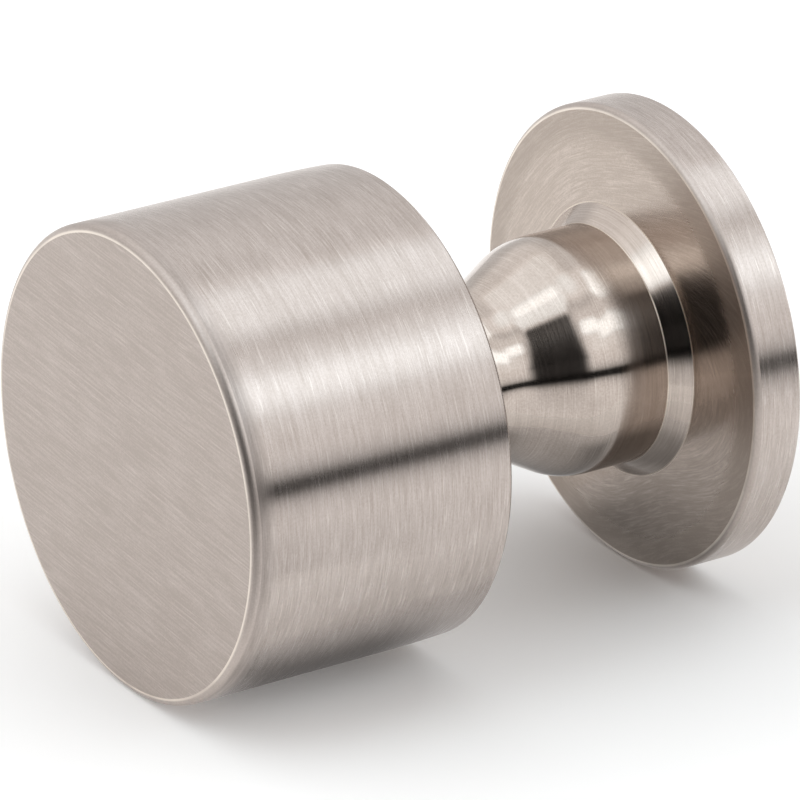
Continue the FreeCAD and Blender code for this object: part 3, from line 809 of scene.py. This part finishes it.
def makeTent():
    # dome point = radius x skyDirection, level = base to roof by elevation, then each patch laid over it
    azimuth = np.arange(*tent["azimuthGrid"])
    elevation = np.concatenate([np.arange(*row) for row in tent["elevationGrid"]])
    a, e = np.meshgrid(azimuth, elevation)
    points = skyDirection(a, e) * tent["radius"]
    level = tent["base"] + (tent["roof"] - tent["base"]) * ramp(e, tent["roofFrom"], tent["roofTo"])
    for patch in tent["patches"]:
        low, high = patch["elevation"]
        left, right = patch["azimuth"]
        middle, half = (left + right) / 2, (right - left) / 2
        soft = patch["soft"] / 2
        leftSoft, rightSoft = (patch.get(side, patch["soft"]) / 2 for side in ("leftSoft", "rightSoft"))
        away = (a - middle + 180.0) % 360.0 - 180.0
        rightEdge = half + patch.get("lean", 0.0) * (e - low)
        mask = ramp(away, -half - leftSoft, -half + leftSoft)
        mask = mask * ramp(rightEdge - away, -rightSoft, rightSoft)
        mask = mask * ramp(e, low - soft, low + soft) * ramp(-e, -high - soft, -high + soft)
        level = level + mask * (patch["level"] - level)
    dome = addStageMesh("lightTent", points, gridFaces(*a.shape), glowing("tentCloth"))
    setGlow(dome, level)
    dome.visible_camera = False


def makeDarkCard():
    # point = eye + distance along the ray: rows under the line lie where their rays meet the table, and rows
    # above it stand upright at the distance of the last row on the table
    azimuth = np.linspace(*darkCard["azimuth"], darkCard["columns"])
    offsets, levels = np.array(darkCard["rows"]).T[:, :, None]
    eye = np.array(darkCard["eye"])
    line = np.interp(azimuth, *np.array(darkCard["line"]).T)
    rise = np.tan(np.radians(line + offsets))
    drop = eye[2] - tableTop["level"] - darkCard["aboveTable"]
    onTable = offsets < 0
    distance = np.where(onTable, drop / np.maximum(-rise, darkCard["leastFall"]), 0.0)
    distance = np.where(onTable, distance, distance[np.sum(onTable) - 1])
    height = np.where(onTable, tableTop["level"] + darkCard["aboveTable"], eye[2] + distance * rise)
    points = np.stack([eye[0] + distance * np.sin(np.radians(azimuth)),
                       eye[1] - distance * np.cos(np.radians(azimuth)), height], -1)
    # painted shade: the card's part on the table darkens towards -y
    front = np.interp(-points[..., 1], *np.array(darkCard["front"]).T)
    side = ramp(azimuth, *darkCard["sideFrom"])
    level = np.where(onTable, levels * front, np.minimum(levels, darkCard["darkest"] + levels * side))
    edge = ramp(azimuth, azimuth[0], azimuth[0] + darkCard["edgeBlend"])
    level = np.where(onTable, darkCard["edgeLevel"] + (level - darkCard["edgeLevel"]) * edge, level)
    card = addStageMesh("darkCard", points * mm, gridFaces(*level.shape), glowing("darkCardPaint"))
    setGlow(card, level)
    seenInReflections(card)


def makeShadeCard():
    # level = rim at the card's edge, going over to the level at that y over the soft width
    (left, right), (front, back) = shadeCard["x"], shadeCard["y"]
    x, y = np.meshgrid(np.linspace(left, right, shadeCard["columns"]),
                       np.linspace(front, back, shadeCard["rows"]))
    inside = np.minimum(np.minimum(x - left, right - x), np.minimum(y - front, back - y))
    level = np.interp(y, *np.array(shadeCard["level"]).T)
    level = shadeCard["rim"] + (level - shadeCard["rim"]) * ramp(inside, 0.0, shadeCard["soft"])
    points = np.stack([x, y, np.full_like(x, tableTop["level"] + shadeCard["aboveTable"])], -1)
    card = addStageMesh("shadeCard", points * mm, gridFaces(*level.shape), glowing("shadeCardPaint"))
    setGlow(card, level)
    seenInReflections(card)


def makeTable():
    # a white sheet whose own light, seen by camera and reflections only, grows with distance from the knob
    material, tree, surface = newMaterial("whiteTable")
    rays = tree.nodes.new("ShaderNodeLightPath").outputs
    seen = calc(tree, "MAXIMUM", rays["Is Camera Ray"], rays["Is Glossy Ray"])
    seen = calc(tree, "MAXIMUM", seen, rays["Is Transmission Ray"])
    coords = tree.nodes.new("ShaderNodeTexCoord").outputs["Object"]
    distance = vectorMath(tree, "LENGTH", vectorMath(tree, "MULTIPLY", coords, (perMetre, perMetre, 0.0)))
    away = mapRange(tree, distance, tableTop["liftFrom"], tableTop["liftTo"], 0.0, tableTop["lift"])
    diffuse = addNode(tree, "ShaderNodeBsdfDiffuse", {"Color": tableTop["colour"], "Roughness": 0.0})
    glow = addNode(tree, "ShaderNodeEmission", {"Strength": calc(tree, "MULTIPLY", seen, away)})
    both = addNode(tree, "ShaderNodeAddShader", {0: diffuse.outputs[0], 1: glow.outputs[0]})
    tree.links.new(both.outputs[0], surface)
    material.cycles.emission_sampling = "NONE"
    half = tableTop["size"] / 2
    z = tableTop["level"] * mm
    points = [(-half, -half, z), (half, -half, z), (half, half, z), (-half, half, z)]
    addStageMesh("table", points, np.array([[0, 1, 2, 3]]), material)


# location and clip distances in metres, lens and sensor width in mm, and the direction from the knob to the
# camera in degrees
view = {"location": (0.377646, -0.263403, 0.197057), "azimuth": 57.0667, "elevation": 23.6883,
        "lens": 375.77, "sensor": 36.0, "clip": (0.01, 20.0)}


def makeCamera():
    # the camera's own backward axis points along the view's direction
    data = bpy.data.cameras.new("camera")
    data.lens = view["lens"]
    data.sensor_width = view["sensor"]
    data.clip_start, data.clip_end = view["clip"]
    camera = bpy.data.objects.new("camera", data)
    camera.location = view["location"]
    back = Vector(skyDirection(view["azimuth"], view["elevation"]))
    camera.rotation_euler = back.to_track_quat("Z", "Y").to_euler()
    bpy.context.scene.collection.objects.link(camera)
    bpy.context.scene.camera = camera


def makeWorld():
    # plain white all round
    world = bpy.data.worlds.new("white")
    world.use_nodes = True
    background = world.node_tree.nodes["Background"]
    background.inputs["Color"].default_value = white
    background.inputs["Strength"].default_value = 1.0
    bpy.context.scene.world = world


bpy.context.scene.view_settings.view_transform = "Standard"
makeCamera()
makeWorld()
makeTable()
makeTent()
makeDarkCard()
makeShadeCard()
print("stage made")

placeGroup = makePlaceGroup()
strokeGroup = makeStrokeGroup()
toothGroup = makeToothGroup()
nickel = {name: makeFinish(name, placeGroup, strokeGroup, toothGroup) for name in finishes}
print("finishes made:", len(nickel))

knobShell = makeKnob(knobForm)
for zone in zoneFinish:
    knobShell.data.materials.append(nickel[zoneFinish[zone]])
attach(knobShell, "root")
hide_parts("knob")
print("knob made:", len(knobShell.data.polygons), "faces")
